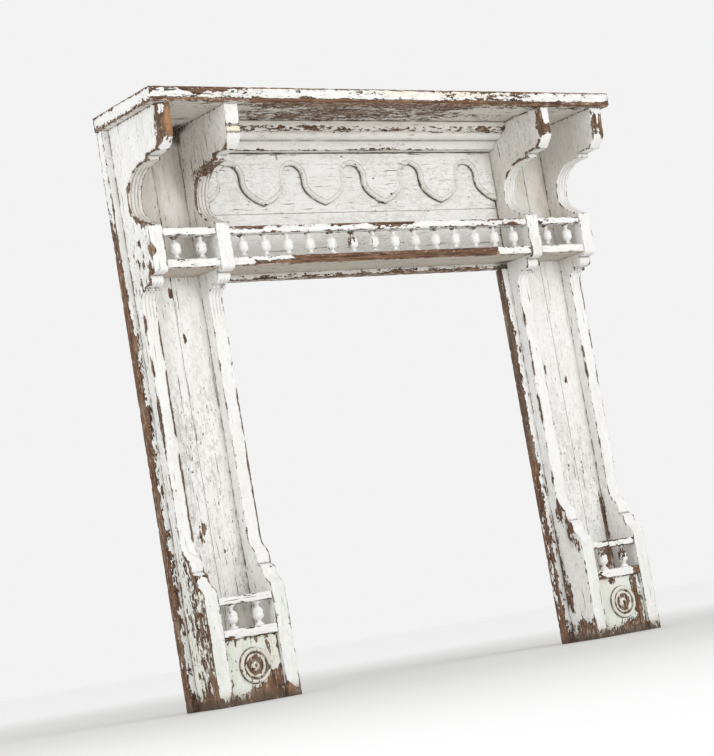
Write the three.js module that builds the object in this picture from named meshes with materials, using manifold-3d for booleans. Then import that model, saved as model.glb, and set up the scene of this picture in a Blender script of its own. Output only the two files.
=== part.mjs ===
import * as THREE from 'three';
import { mergeVertices } from 'three/addons/utils/BufferGeometryUtils.js';
import Module from 'manifold-3d';

const wasm = await Module();
wasm.setup();

// All sizes are in millimetres. X runs along the shelf, Z is up, and the front faces -Y.
// A depth is the distance in front of the flat back that goes against the wall.

// Overall sizes and the shelf board
const SHELF_LENGTH = 1500;
const SHELF_DEPTH = 282;
const SHELF_THICKNESS = 38;
const TOTAL_HEIGHT = 1495;
const SHELF_TOP_EASE = 2;
const SHELF_LOWER_WEAR = 5;
const SHELF_UNDERSIDE = TOTAL_HEIGHT - SHELF_THICKNESS;

// Leg boards that lie against the wall, two side by side in each leg
const BACK_THICKNESS = 28;
const SHELF_OVERHANG = 3;
const LEG_WIDTH = 276;
const LEG_INNER_BOARD = 144;
const BOARD_GAP = 1.2;
const LEG_OUTER_EDGE = SHELF_LENGTH / 2 - SHELF_OVERHANG;
const LEG_INNER_EDGE = LEG_OUTER_EDGE - LEG_WIDTH;
const LEG_JOINT_X = LEG_INNER_EDGE + LEG_INNER_BOARD;

// Bracket boards that stand out from the legs, two on each leg
const BRACKET_THICKNESS = 40;
const LEG_MARGIN_INNER = 21;
const LEG_MARGIN_OUTER = 19;
const END_CLEARANCE = 0.5;
const BRACKET_INNER_X = LEG_INNER_EDGE + LEG_MARGIN_INNER;
const BRACKET_OUTER_X = LEG_OUTER_EDGE - LEG_MARGIN_OUTER - BRACKET_THICKNESS;
const BAY_CENTRE = (BRACKET_INNER_X + BRACKET_THICKNESS + BRACKET_OUTER_X) / 2;
const BAY_WIDTH = BRACKET_OUTER_X - BRACKET_INNER_X - BRACKET_THICKNESS;

// Nose of the bracket under the shelf, with heights stacked down from the shelf
const NOSE_SETBACK = 15;
const NOSE_HEIGHT = 110;
const NOSE_LINE_DROP = 54;
const NOSE_LINE_SPACING = 18;
const NOSE_LINE_CUT = 2.5;
const NOSE_FACE_SLOPE = 4;
const NOSE_UNDERCUT = 34;
const NOSE_FILLET_IN = 80;
const NOSE_FILLET_HEIGHT = 12;
const NOSE_DEPTH = SHELF_DEPTH - NOSE_SETBACK;
const NOSE_FOOT = SHELF_UNDERSIDE - NOSE_HEIGHT;

// Hollow curve between the nose and the gallery post, with grooves run along it
const HOLLOW_LIP = 25;
const HOLLOW_HEIGHT = 150;
const HOLLOW_WAIST_DROP = 84;
const HOLLOW_WAIST_DEPTH = 72;
const HOLLOW_TOP = NOSE_FOOT - NOSE_FILLET_HEIGHT - 1;
const HOLLOW_TOP_DEPTH = NOSE_DEPTH - NOSE_FILLET_IN - HOLLOW_LIP;
const HOLLOW_WAIST = HOLLOW_TOP - HOLLOW_WAIST_DROP;
const GROOVE_COUNT = 3;
const GROOVE_WIDTH = 2.6;
const GROOVE_DEPTH = 3;

// Gallery post, the square block of the bracket that the rails meet
const POST_DEPTH = 145;
const POST_HEIGHT = 120;
const POST_FOOT_ROUND = 12;
const POST_TOP = HOLLOW_TOP - HOLLOW_HEIGHT;
const POST_FOOT = POST_TOP - POST_HEIGHT;

// Cap mouldings under the post and the plain shaft below them
const CAP_SETBACK = 28;
const CAP_FACE_HEIGHT = 14;
const OVOLO_OUT = 20;
const OVOLO_HEIGHT = 12;
const FILLET_OUT = 9;
const FILLET_HEIGHT = 7;
const SHAFT_DEPTH = 62;
const CAVETTO_HEIGHT = 33;
const CAP_DEPTH = POST_DEPTH - CAP_SETBACK;
const CAP_FOOT = POST_FOOT - CAP_FACE_HEIGHT;
const OVOLO_FOOT = CAP_FOOT - OVOLO_HEIGHT;
const FILLET_DEPTH = CAP_DEPTH - OVOLO_OUT - FILLET_OUT;
const FILLET_FOOT = OVOLO_FOOT - FILLET_HEIGHT;
const SHAFT_TOP = FILLET_FOOT - CAVETTO_HEIGHT;

// Stepped and curved base of the bracket, with heights stacked up from the floor
const BASE_DEPTH = 131;
const BASE_TOP = 273;
const SWELL_IN = 27;
const SWELL_HEIGHT = 36;
const SWELL_FACE = 12;
const STEP_IN = 7;
const STEP_RISE = 5;
const WAVE_DEPTH = 88;
const WAVE_FACE = 15;
const WAVE_HEIGHT = 54;
const SWELL_DEPTH = BASE_DEPTH - SWELL_IN;
const SWELL_CURVE_TOP = BASE_TOP + SWELL_HEIGHT;
const SWELL_TOP = SWELL_CURVE_TOP + SWELL_FACE;
const STEP_FOOT = SWELL_TOP + STEP_RISE;
const STEP_TOP = STEP_FOOT + STEP_RISE;
const WAVE_FOOT = STEP_TOP + WAVE_FACE;
const SHAFT_FOOT = WAVE_FOOT + WAVE_HEIGHT;

// Gallery shelf, rail and turned balusters
const RAIL_SETBACK = 3;
const GALLERY_LIFT = 9;
const GALLERY_SHELF_THICKNESS = 24;
const RAIL_HEIGHT = 20;
const RAIL_THICKNESS = 30;
const EDGE_EASE = 2;
const SHELF_FOOT_EASE = 3;
const BALUSTER_HEIGHT = 59;
const BALUSTER_RADIUS = 14;
const BALUSTER_SETBACK = 17;
const CENTRE_BALUSTERS = 14;
const CENTRE_END_SPACE = 43.5;
const BAY_BALUSTERS = 2;
const BAY_PITCH = 75;
const GALLERY_DEPTH = POST_DEPTH - RAIL_SETBACK;
const GALLERY_FOOT = POST_FOOT + GALLERY_LIFT;
const CENTRE_PITCH = (2 * (BRACKET_INNER_X - CENTRE_END_SPACE)) / (CENTRE_BALUSTERS - 1);

// Crown moulding under the shelf
const CORNICE_TOP_DEPTH = 128;
const CORNICE_FACE_HEIGHT = 10;
const CORNICE_OVOLO_IN = 14;
const CORNICE_OVOLO_HEIGHT = 16;
const CORNICE_STEP_IN = 8;
const CORNICE_STEP_HEIGHT = 4;
const CORNICE_BEAD_IN = 20;
const CORNICE_BEAD_HEIGHT = 13;
const CORNICE_FASCIA_IN = 7;
const CORNICE_FASCIA_HEIGHT = 20;
const CORNICE_FOOT_IN = 17;
const CORNICE_FACE = SHELF_UNDERSIDE - CORNICE_FACE_HEIGHT;
const CORNICE_OVOLO_FOOT = CORNICE_FACE - CORNICE_OVOLO_HEIGHT;
const CORNICE_STEP = CORNICE_OVOLO_FOOT - CORNICE_STEP_HEIGHT;
const CORNICE_BEAD_FOOT = CORNICE_STEP - CORNICE_BEAD_HEIGHT;
const CORNICE_FASCIA_TOP = CORNICE_BEAD_FOOT - 1;
const CORNICE_FOOT = CORNICE_FASCIA_TOP - CORNICE_FASCIA_HEIGHT;

// Scalloped board of round arches and pointed drops
const ARCH_COUNT = 5;
const ARCH_HALF_WIDTH = 30;
const ARCH_DROP = 34;
const ARCH_NECK_DROP = 48;
const TIP_DROP = 109;
const SCALLOP_THICKNESS = 12;
const SCALLOP_ROUNDING = 10;
const ARCH_PITCH = (2 * BRACKET_INNER_X) / ARCH_COUNT;
const ARCH_TOP = CORNICE_FOOT - ARCH_DROP;
const ARCH_NECK = ARCH_TOP - ARCH_NECK_DROP;
const DROP_TIP = ARCH_TOP - TIP_DROP;

// Frieze boards, with the lower edge of the lower one as the top of the opening
const JOINT_BELOW_TIP = 18;
const HEADER_BELOW_GALLERY = 14;
const FRIEZE_JOINT = DROP_TIP - JOINT_BELOW_TIP;
const HEADER_FOOT = GALLERY_FOOT - HEADER_BELOW_GALLERY;

// Small gallery, ledge, panel and rosette at the base of each leg
const LEDGE_FOOT = 158;
const BASE_RAIL_SETBACK = 2;
const BASE_PANEL_SETBACK = 9;
const BASE_PANEL_THICKNESS = 20;
const BASE_RAIL_THICKNESS = 24;
const BASE_BALUSTER_SETBACK = 14.5;
const ROSETTE_HEIGHT = 88;
const ROSETTE_RADIUS = 45;
const ROSETTE_RISE = 8;
const BASE_RAIL_DEPTH = BASE_DEPTH - BASE_RAIL_SETBACK;
const BASE_PANEL_DEPTH = BASE_DEPTH - BASE_PANEL_SETBACK;

const CURVE_STEPS = 6;
const BALUSTER_SIDES = 8;
const ROSETTE_SIDES = 24;

const whitePaint = { color: 0xe4e1db, roughness: 0.62, metalness: 0 };
const agedPaint = { color: 0xcfc8bf, roughness: 0.7, metalness: 0 };
const wornPaint = { color: 0xb7a898, roughness: 0.75, metalness: 0 };

const mantel = new THREE.Group();
mantel.name = 'fireplace_mantelpiece';

function addPiece(name, geometry, look) {
  geometry.translate(0, SHELF_DEPTH / 2, 0);
  const material = new THREE.MeshStandardMaterial(look);
  material.name = `${name}_paint`;
  const mesh = new THREE.Mesh(geometry, material);
  mesh.name = name;
  mantel.add(mesh);
}

function toSolid(geometry) {
  const bare = geometry.clone();
  bare.deleteAttribute('normal');
  bare.deleteAttribute('uv');
  const welded = mergeVertices(bare, 1e-3);
  const mesh = new wasm.Mesh({
    numProp: 3,
    vertProperties: new Float32Array(welded.attributes.position.array),
    triVerts: new Uint32Array(welded.index.array),
  });
  return new wasm.Manifold(mesh);
}

function toGeometry(solid) {
  const mesh = solid.getMesh();
  const geometry = new THREE.BufferGeometry();
  geometry.setAttribute('position', new THREE.BufferAttribute(new Float32Array(mesh.vertProperties), 3));
  geometry.setIndex(new THREE.BufferAttribute(new Uint32Array(mesh.triVerts), 1));
  const flat = geometry.toNonIndexed();
  flat.computeVertexNormals();
  return flat;
}

// A side outline drawn as depth against height, given a width along X
function alongX(outline, lowX, highX) {
  const options = { depth: highX - lowX, bevelEnabled: false, curveSegments: CURVE_STEPS };
  const geometry = new THREE.ExtrudeGeometry(outline, options);
  const toRoom = new THREE.Matrix4().makeBasis(
    new THREE.Vector3(0, -1, 0),
    new THREE.Vector3(0, 0, 1),
    new THREE.Vector3(-1, 0, 0),
  );
  toRoom.setPosition(highX, 0, 0);
  geometry.applyMatrix4(toRoom);
  return geometry;
}

// A front outline drawn as X against height, given a thickness forward from a depth
function forward(outline, backDepth, options) {
  const geometry = new THREE.ExtrudeGeometry(outline, options);
  geometry.rotateX(Math.PI / 2);
  geometry.translate(0, -backDepth, 0);
  return geometry;
}

function outlineOf(points) {
  return new THREE.Shape(points.map(([across, up]) => new THREE.Vector2(across, up)));
}

function box(lowX, highX, backDepth, frontDepth, foot, top) {
  const geometry = new THREE.BoxGeometry(highX - lowX, frontDepth - backDepth, top - foot);
  geometry.translate((lowX + highX) / 2, -(backDepth + frontDepth) / 2, (foot + top) / 2);
  return geometry;
}

// A board or rail whose two front edges are slightly eased
function easedBoard(lowX, highX, backDepth, frontDepth, foot, top, topEase, footEase) {
  const outline = outlineOf([
    [backDepth, foot],
    [frontDepth - footEase, foot],
    [frontDepth, foot + footEase],
    [frontDepth, top - topEase],
    [frontDepth - topEase, top],
    [backDepth, top],
  ]);
  return alongX(outline, lowX, highX);
}

function hollowCurves() {
  const upperReach = HOLLOW_TOP_DEPTH - HOLLOW_WAIST_DEPTH;
  const lowerReach = POST_DEPTH - HOLLOW_WAIST_DEPTH;
  const lowerDrop = HOLLOW_WAIST - POST_TOP;
  const waist = new THREE.Vector2(HOLLOW_WAIST_DEPTH, HOLLOW_WAIST);
  const upper = new THREE.CubicBezierCurve(
    new THREE.Vector2(HOLLOW_TOP_DEPTH, HOLLOW_TOP),
    new THREE.Vector2(HOLLOW_TOP_DEPTH - 0.62 * upperReach, HOLLOW_TOP),
    new THREE.Vector2(HOLLOW_WAIST_DEPTH, HOLLOW_WAIST + 0.6 * HOLLOW_WAIST_DROP),
    waist,
  );
  const lower = new THREE.CubicBezierCurve(
    waist,
    new THREE.Vector2(HOLLOW_WAIST_DEPTH, HOLLOW_WAIST - 0.42 * lowerDrop),
    new THREE.Vector2(HOLLOW_WAIST_DEPTH + 0.37 * lowerReach, POST_TOP + 0.32 * lowerDrop),
    new THREE.Vector2(POST_DEPTH, POST_TOP),
  );
  return [upper, lower];
}

function noseLine(outline, height) {
  const face = NOSE_DEPTH - NOSE_FACE_SLOPE;
  outline.lineTo(face, height + NOSE_LINE_CUT);
  outline.lineTo(face - NOSE_LINE_CUT, height);
  outline.lineTo(face, height - NOSE_LINE_CUT);
}

function bracketOutline() {
  const upperLine = SHELF_UNDERSIDE - NOSE_LINE_DROP;
  const noseBend = (upperLine - NOSE_LINE_SPACING + NOSE_FOOT) / 2;
  const curveDepth = NOSE_DEPTH - 2 * NOSE_FACE_SLOPE;
  const footDepth = NOSE_DEPTH - NOSE_UNDERCUT;
  const filletDepth = NOSE_DEPTH - NOSE_FILLET_IN;
  const outline = new THREE.Shape();
  outline.moveTo(BACK_THICKNESS, 0);
  outline.lineTo(BACK_THICKNESS, SHELF_UNDERSIDE);
  outline.lineTo(NOSE_DEPTH, SHELF_UNDERSIDE);
  noseLine(outline, upperLine);
  noseLine(outline, upperLine - NOSE_LINE_SPACING);
  outline.quadraticCurveTo(curveDepth, noseBend, footDepth, NOSE_FOOT);
  outline.lineTo(filletDepth, NOSE_FOOT);
  outline.lineTo(filletDepth, NOSE_FOOT - NOSE_FILLET_HEIGHT);
  for (const curve of hollowCurves()) {
    for (const point of curve.getPoints(CURVE_STEPS)) {
      outline.lineTo(point.x, point.y);
    }
  }
  outline.lineTo(POST_DEPTH, POST_FOOT + POST_FOOT_ROUND);
  outline.quadraticCurveTo(POST_DEPTH, POST_FOOT, POST_DEPTH - 1.8 * POST_FOOT_ROUND, POST_FOOT);
  outline.lineTo(CAP_DEPTH, POST_FOOT);
  outline.lineTo(CAP_DEPTH, CAP_FOOT);
  outline.quadraticCurveTo(CAP_DEPTH, OVOLO_FOOT, CAP_DEPTH - OVOLO_OUT, OVOLO_FOOT);
  outline.lineTo(FILLET_DEPTH, OVOLO_FOOT);
  outline.lineTo(FILLET_DEPTH, FILLET_FOOT);
  outline.quadraticCurveTo(SHAFT_DEPTH, FILLET_FOOT, SHAFT_DEPTH, SHAFT_TOP);
  outline.lineTo(SHAFT_DEPTH, SHAFT_FOOT);
  const waveTurn = (SHAFT_FOOT + WAVE_FOOT) / 2;
  outline.bezierCurveTo(SHAFT_DEPTH, waveTurn, WAVE_DEPTH, waveTurn, WAVE_DEPTH, WAVE_FOOT);
  outline.lineTo(WAVE_DEPTH, STEP_TOP);
  outline.lineTo(SWELL_DEPTH - STEP_IN, STEP_FOOT);
  outline.lineTo(SWELL_DEPTH, SWELL_TOP);
  outline.lineTo(SWELL_DEPTH, SWELL_CURVE_TOP);
  const swellBend = SWELL_CURVE_TOP - 0.45 * SWELL_HEIGHT;
  const baseBend = BASE_TOP + SWELL_HEIGHT / 3;
  outline.bezierCurveTo(SWELL_DEPTH, swellBend, BASE_DEPTH, baseBend, BASE_DEPTH, BASE_TOP);
  outline.lineTo(BASE_DEPTH, 0);
  outline.closePath();
  return outline;
}

// A strip that follows the hollow curve, from just outside it to the bottom of a groove
function grooveOutline() {
  const path = [];
  for (const curve of hollowCurves()) {
    for (let step = 0; step < CURVE_STEPS; step += 1) {
      path.push({ point: curve.getPoint(step / CURVE_STEPS), along: curve.getTangent(step / CURVE_STEPS) });
    }
  }
  const last = hollowCurves()[1];
  path.push({ point: last.getPoint(1), along: last.getTangent(1) });
  const shift = ({ point, along }, distance) => [
    point.x + along.y * distance,
    point.y - along.x * distance,
  ];
  const cutSide = path.map((place) => shift(place, GROOVE_DEPTH));
  const openSide = path.map((place) => shift(place, -1));
  return outlineOf([...cutSide, ...openSide.reverse()]);
}

function bracket(lowX) {
  let solid = toSolid(alongX(bracketOutline(), lowX, lowX + BRACKET_THICKNESS));
  const reedWidth = BRACKET_THICKNESS / (GROOVE_COUNT + 1);
  for (let groove = 1; groove <= GROOVE_COUNT; groove += 1) {
    const middle = lowX + groove * reedWidth;
    const cut = alongX(grooveOutline(), middle - GROOVE_WIDTH / 2, middle + GROOVE_WIDTH / 2);
    solid = solid.subtract(toSolid(cut));
  }
  return toGeometry(solid);
}

function corniceOutline() {
  const ovoloBend = CORNICE_OVOLO_FOOT + CORNICE_OVOLO_HEIGHT / 4;
  const ovoloFootDepth = CORNICE_TOP_DEPTH - CORNICE_OVOLO_IN;
  const stepDepth = ovoloFootDepth - CORNICE_STEP_IN;
  const beadFootDepth = stepDepth - CORNICE_BEAD_IN;
  const fasciaDepth = beadFootDepth - CORNICE_FASCIA_IN;
  const footDepth = fasciaDepth - CORNICE_FOOT_IN;
  const coveBend = CORNICE_FOOT + 0.7 * CORNICE_FASCIA_HEIGHT;
  const outline = new THREE.Shape();
  outline.moveTo(BACK_THICKNESS, CORNICE_FOOT);
  outline.lineTo(BACK_THICKNESS, SHELF_UNDERSIDE);
  outline.lineTo(CORNICE_TOP_DEPTH, SHELF_UNDERSIDE);
  outline.lineTo(CORNICE_TOP_DEPTH, CORNICE_FACE);
  outline.quadraticCurveTo(CORNICE_TOP_DEPTH, ovoloBend, ovoloFootDepth, CORNICE_OVOLO_FOOT);
  outline.lineTo(stepDepth, CORNICE_OVOLO_FOOT);
  outline.lineTo(stepDepth, CORNICE_STEP);
  outline.quadraticCurveTo(stepDepth, CORNICE_BEAD_FOOT, beadFootDepth, CORNICE_BEAD_FOOT);
  outline.lineTo(fasciaDepth, CORNICE_FASCIA_TOP);
  outline.quadraticCurveTo(footDepth + 3, coveBend, footDepth, CORNICE_FOOT);
  outline.closePath();
  return outline;
}

// The lower edge runs from drop to drop under each round arch
function scallopedFrieze(lowX, highX) {
  const firstArch = (-(ARCH_COUNT - 1) / 2) * ARCH_PITCH;
  const firstTip = firstArch - ARCH_PITCH / 2;
  const springing = ARCH_TOP - ARCH_HALF_WIDTH;
  const tipReach = 0.53 * (ARCH_PITCH / 2 - ARCH_HALF_WIDTH);
  const tipBend = DROP_TIP + 0.2 * (ARCH_NECK - DROP_TIP);
  const neckBend = ARCH_NECK - 0.43 * (ARCH_NECK - DROP_TIP);
  const spare = 4 * SCALLOP_ROUNDING;
  const outline = new THREE.Shape();
  outline.moveTo(firstTip - spare, CORNICE_FOOT + spare);
  outline.lineTo(firstTip - spare, DROP_TIP + spare);
  outline.lineTo(firstTip, DROP_TIP);
  for (let arch = 0; arch < ARCH_COUNT; arch += 1) {
    const centre = firstArch + arch * ARCH_PITCH;
    const left = centre - ARCH_HALF_WIDTH;
    const right = centre + ARCH_HALF_WIDTH;
    const tipLeft = centre - ARCH_PITCH / 2;
    const tipRight = centre + ARCH_PITCH / 2;
    outline.bezierCurveTo(tipLeft + tipReach, tipBend, left, neckBend, left, ARCH_NECK);
    outline.lineTo(left, springing);
    outline.absarc(centre, springing, ARCH_HALF_WIDTH, Math.PI, 0, true);
    outline.lineTo(right, ARCH_NECK);
    outline.bezierCurveTo(right, neckBend, tipRight - tipReach, tipBend, tipRight, DROP_TIP);
  }
  outline.lineTo(-firstTip + spare, DROP_TIP + spare);
  outline.lineTo(-firstTip + spare, CORNICE_FOOT + spare);
  outline.closePath();
  const options = {
    depth: SCALLOP_THICKNESS,
    bevelEnabled: true,
    bevelThickness: SCALLOP_ROUNDING - 1,
    bevelSize: SCALLOP_ROUNDING,
    bevelOffset: -SCALLOP_ROUNDING,
    bevelSegments: 2,
    curveSegments: CURVE_STEPS,
  };
  const backDepth = BACK_THICKNESS - SCALLOP_ROUNDING + 1;
  const whole = toSolid(forward(outline, backDepth, options));
  const front = BACK_THICKNESS + SCALLOP_THICKNESS;
  const kept = toSolid(box(lowX, highX, BACK_THICKNESS, front + spare, DROP_TIP - spare, CORNICE_FOOT));
  return toGeometry(whole.intersect(kept));
}

// Turned outline from the foot to the top: bell foot, neck, grooved ball, neck and flared top.
// Each step is a share of the radius and a share of the height.
function balusterGeometry() {
  const profile = [
    [0, 0],
    [0.86, 0],
    [0.79, 0.06],
    [0.48, 0.13],
    [0.36, 0.2],
    [0.78, 0.28],
    [1, 0.4],
    [0.91, 0.5],
    [0.98, 0.59],
    [0.74, 0.71],
    [0.34, 0.79],
    [0.36, 0.87],
    [0.68, 0.95],
    [0.74, 1],
    [0, 1],
  ];
  const points = profile.map(([out, up]) => new THREE.Vector2(out * BALUSTER_RADIUS, up * BALUSTER_HEIGHT));
  const geometry = new THREE.LatheGeometry(points, BALUSTER_SIDES);
  geometry.rotateX(Math.PI / 2);
  return geometry;
}

function addBalusters(prefix, firstNumber, centreX, count, pitch, depth, foot) {
  for (let item = 0; item < count; item += 1) {
    const geometry = balusterGeometry();
    const x = centreX + (item - (count - 1) / 2) * pitch;
    geometry.translate(x, -depth, foot);
    const number = String(firstNumber + item).padStart(2, '0');
    addPiece(`${prefix}_${number}`, geometry, whitePaint);
  }
}

// Round ornament with an outer bead, a dished ring and a raised button.
// Each step is a share of the radius and a share of the rise.
function rosetteGeometry(centreX) {
  const profile = [
    [0, 0],
    [1, 0],
    [0.98, 0.62],
    [0.89, 1],
    [0.78, 0.88],
    [0.71, 0.38],
    [0.67, 0.38],
    [0.6, 0.75],
    [0.53, 0.62],
    [0.44, 0.25],
    [0.27, 0.25],
    [0.2, 0.62],
    [0.11, 0.88],
    [0, 0.88],
  ];
  const points = profile.map(([out, rise]) => new THREE.Vector2(out * ROSETTE_RADIUS, rise * ROSETTE_RISE));
  const geometry = new THREE.LatheGeometry(points, ROSETTE_SIDES);
  geometry.rotateX(Math.PI);
  geometry.translate(centreX, -BASE_PANEL_DEPTH, ROSETTE_HEIGHT);
  return geometry;
}

// The inner board of a leg is cut back at the top so that the frieze boards reach the brackets
function legInnerBoard(side) {
  const cornerX = BRACKET_INNER_X + END_CLEARANCE;
  const jointX = LEG_JOINT_X - BOARD_GAP / 2;
  const headerSeat = HEADER_FOOT - END_CLEARANCE;
  const points = [
    [side * LEG_INNER_EDGE, 0],
    [side * jointX, 0],
    [side * jointX, SHELF_UNDERSIDE],
    [side * cornerX, SHELF_UNDERSIDE],
    [side * cornerX, headerSeat],
    [side * LEG_INNER_EDGE, headerSeat],
  ];
  const outline = outlineOf(points);
  return forward(outline, 0, { depth: BACK_THICKNESS, bevelEnabled: false });
}

// Shelf
const shelf = easedBoard(
  -SHELF_LENGTH / 2,
  SHELF_LENGTH / 2,
  0,
  SHELF_DEPTH,
  SHELF_UNDERSIDE,
  TOTAL_HEIGHT,
  SHELF_TOP_EASE,
  SHELF_LOWER_WEAR,
);
addPiece('mantel_shelf', shelf, whitePaint);

// Frieze, scalloped board and crown moulding between the inner brackets
const friezeEnd = BRACKET_INNER_X - END_CLEARANCE;
const friezeFoot = FRIEZE_JOINT + BOARD_GAP / 2;
const lowerTop = FRIEZE_JOINT - BOARD_GAP / 2;
const upperFrieze = box(-friezeEnd, friezeEnd, 0, BACK_THICKNESS, friezeFoot, SHELF_UNDERSIDE);
const lowerFrieze = box(-friezeEnd, friezeEnd, 0, BACK_THICKNESS, HEADER_FOOT, lowerTop);
addPiece('frieze_board_upper', upperFrieze, agedPaint);
addPiece('frieze_board_lower', lowerFrieze, agedPaint);
addPiece('scalloped_frieze', scallopedFrieze(-friezeEnd, friezeEnd), agedPaint);
addPiece('cornice_moulding', alongX(corniceOutline(), -friezeEnd, friezeEnd), agedPaint);

// Gallery between the inner brackets
const galleryTop = GALLERY_FOOT + GALLERY_SHELF_THICKNESS;
const railFoot = galleryTop + BALUSTER_HEIGHT;
const railTop = railFoot + RAIL_HEIGHT;
const railBack = GALLERY_DEPTH - RAIL_THICKNESS;

function galleryShelf(lowX, highX) {
  const [back, front] = [BACK_THICKNESS, GALLERY_DEPTH];
  return easedBoard(lowX, highX, back, front, GALLERY_FOOT, galleryTop, EDGE_EASE, SHELF_FOOT_EASE);
}

function galleryRail(lowX, highX) {
  return easedBoard(lowX, highX, railBack, GALLERY_DEPTH, railFoot, railTop, EDGE_EASE, EDGE_EASE);
}

addPiece('gallery_shelf_centre', galleryShelf(-friezeEnd, friezeEnd), whitePaint);
addPiece('gallery_rail_centre', galleryRail(-friezeEnd, friezeEnd), whitePaint);

const galleryBalusterDepth = GALLERY_DEPTH - BALUSTER_SETBACK;
const bayEnd = BAY_WIDTH / 2 - END_CLEARANCE;
addBalusters('gallery_baluster', 1, -BAY_CENTRE, BAY_BALUSTERS, BAY_PITCH, galleryBalusterDepth, galleryTop);
addBalusters('gallery_baluster', 3, 0, CENTRE_BALUSTERS, CENTRE_PITCH, galleryBalusterDepth, galleryTop);
addBalusters('gallery_baluster', 17, BAY_CENTRE, BAY_BALUSTERS, BAY_PITCH, galleryBalusterDepth, galleryTop);

// Each leg with its boards, brackets, gallery bay and base
const ledgeTop = LEDGE_FOOT + GALLERY_SHELF_THICKNESS;
const baseRailFoot = ledgeTop + BALUSTER_HEIGHT;
const baseRailTop = baseRailFoot + RAIL_HEIGHT;
const baseRailBack = BASE_RAIL_DEPTH - BASE_RAIL_THICKNESS;
const panelBack = BASE_PANEL_DEPTH - BASE_PANEL_THICKNESS;
const baseBalusterDepth = BASE_RAIL_DEPTH - BASE_BALUSTER_SETBACK;

for (const [label, side] of [['left', -1], ['right', 1]]) {
  const spread = (nearX, farX) => (side > 0 ? [nearX, farX] : [-farX, -nearX]);
  const outerBoard = spread(LEG_JOINT_X + BOARD_GAP / 2, LEG_OUTER_EDGE);
  const bay = [side * BAY_CENTRE - bayEnd, side * BAY_CENTRE + bayEnd];
  const outerLegBoard = box(...outerBoard, 0, BACK_THICKNESS, 0, SHELF_UNDERSIDE);
  addPiece(`leg_board_outer_${label}`, outerLegBoard, agedPaint);
  addPiece(`leg_board_inner_${label}`, legInnerBoard(side), agedPaint);
  const outerBracket = spread(BRACKET_OUTER_X, BRACKET_OUTER_X + BRACKET_THICKNESS);
  const innerBracket = spread(BRACKET_INNER_X, BRACKET_INNER_X + BRACKET_THICKNESS);
  addPiece(`bracket_outer_${label}`, bracket(outerBracket[0]), whitePaint);
  addPiece(`bracket_inner_${label}`, bracket(innerBracket[0]), whitePaint);
  addPiece(`gallery_shelf_${label}`, galleryShelf(...bay), whitePaint);
  addPiece(`gallery_rail_${label}`, galleryRail(...bay), whitePaint);
  const ledge = easedBoard(...bay, BACK_THICKNESS, BASE_DEPTH, LEDGE_FOOT, ledgeTop, EDGE_EASE, EDGE_EASE);
  addPiece(`base_ledge_${label}`, ledge, whitePaint);
  const railDepths = [baseRailBack, BASE_RAIL_DEPTH];
  const rail = easedBoard(...bay, ...railDepths, baseRailFoot, baseRailTop, EDGE_EASE, EDGE_EASE);
  addPiece(`base_rail_${label}`, rail, whitePaint);
  addPiece(`base_panel_${label}`, box(...bay, panelBack, BASE_PANEL_DEPTH, 0, LEDGE_FOOT), wornPaint);
  addPiece(`base_rosette_${label}`, rosetteGeometry(side * BAY_CENTRE), wornPaint);
  const row = [side * BAY_CENTRE, BAY_BALUSTERS, BAY_PITCH];
  addBalusters(`base_baluster_${label}`, 1, ...row, baseBalusterDepth, ledgeTop);
}

export default mantel;
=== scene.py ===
import math

import bmesh
import bpy
import numpy as np
from mathutils import Matrix, Vector, noise


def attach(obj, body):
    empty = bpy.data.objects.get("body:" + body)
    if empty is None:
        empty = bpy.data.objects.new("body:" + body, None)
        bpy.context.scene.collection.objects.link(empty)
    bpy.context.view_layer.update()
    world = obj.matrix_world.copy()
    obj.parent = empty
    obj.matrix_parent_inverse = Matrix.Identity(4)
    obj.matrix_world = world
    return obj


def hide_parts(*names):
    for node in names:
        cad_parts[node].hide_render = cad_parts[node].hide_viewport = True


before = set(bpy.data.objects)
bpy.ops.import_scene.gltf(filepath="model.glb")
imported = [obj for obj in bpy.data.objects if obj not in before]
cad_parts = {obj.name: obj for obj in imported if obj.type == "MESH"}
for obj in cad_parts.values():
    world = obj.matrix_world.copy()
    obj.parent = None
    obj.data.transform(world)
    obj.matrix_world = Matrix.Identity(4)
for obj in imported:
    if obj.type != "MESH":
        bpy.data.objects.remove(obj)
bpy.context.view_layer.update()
scene = bpy.context.scene

MM = 0.001
FACING = 0.5
FAR = 1e3

# Places on the mantelpiece, in millimetres
BACK_Y = 141.0
BACK_SLACK = 4
BOARD_FRONT = 113.0
POST_TOP = 1184.0
POST_FOOT = 1064.0
HOLLOW_TOP = 1334.0
FRIEZE_JOINT = 1232
CORNICE_STEP = 1413.5
CORNICE_FOOT = 1394
LEG_JOINT = 615
LEG_MIDDLE = 610.0
STRIP_OUTER, STRIP_INNER = 726, 494
ROSETTE_HEIGHT = 88.0
ROSETTE_RADIUS = 45.0
SCALLOP_TOP = 1393.0
SCALLOP_END = 491.5

# Rounding of edges and curves
CORNER_TURN = math.radians(28)
STRAIGHT_TURN = math.radians(0.3)
SHARP_TURN = math.radians(40)
CURVE_REACH = 30.0
CORNER_SIZE = 1.5
CORNER_SHARE = 0.3
RIM_BEVEL = 0.9
RIM_STEP = 0.3
RIM_FADE = 20.0
SCALLOP_THICK = 12.0
SCALLOP_ROUND = 13.0
SCALLOP_LIP = 4.2
SCALLOP_QUIRK = 1.3
SCALLOP_SLACK = 0.3
REEDS = 4
REED_DEPTH = {"left": 3.2, "right": 1.8}
SUNK = 0.9
GROOVE_FOOT = 4.6
BALUSTER_SIDES, BALUSTER_STEPS = 28, 3
ROSETTE_SIDES, ROSETTE_STEPS = 64, 4
FAR_FROM_EDGE = 50.0

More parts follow.
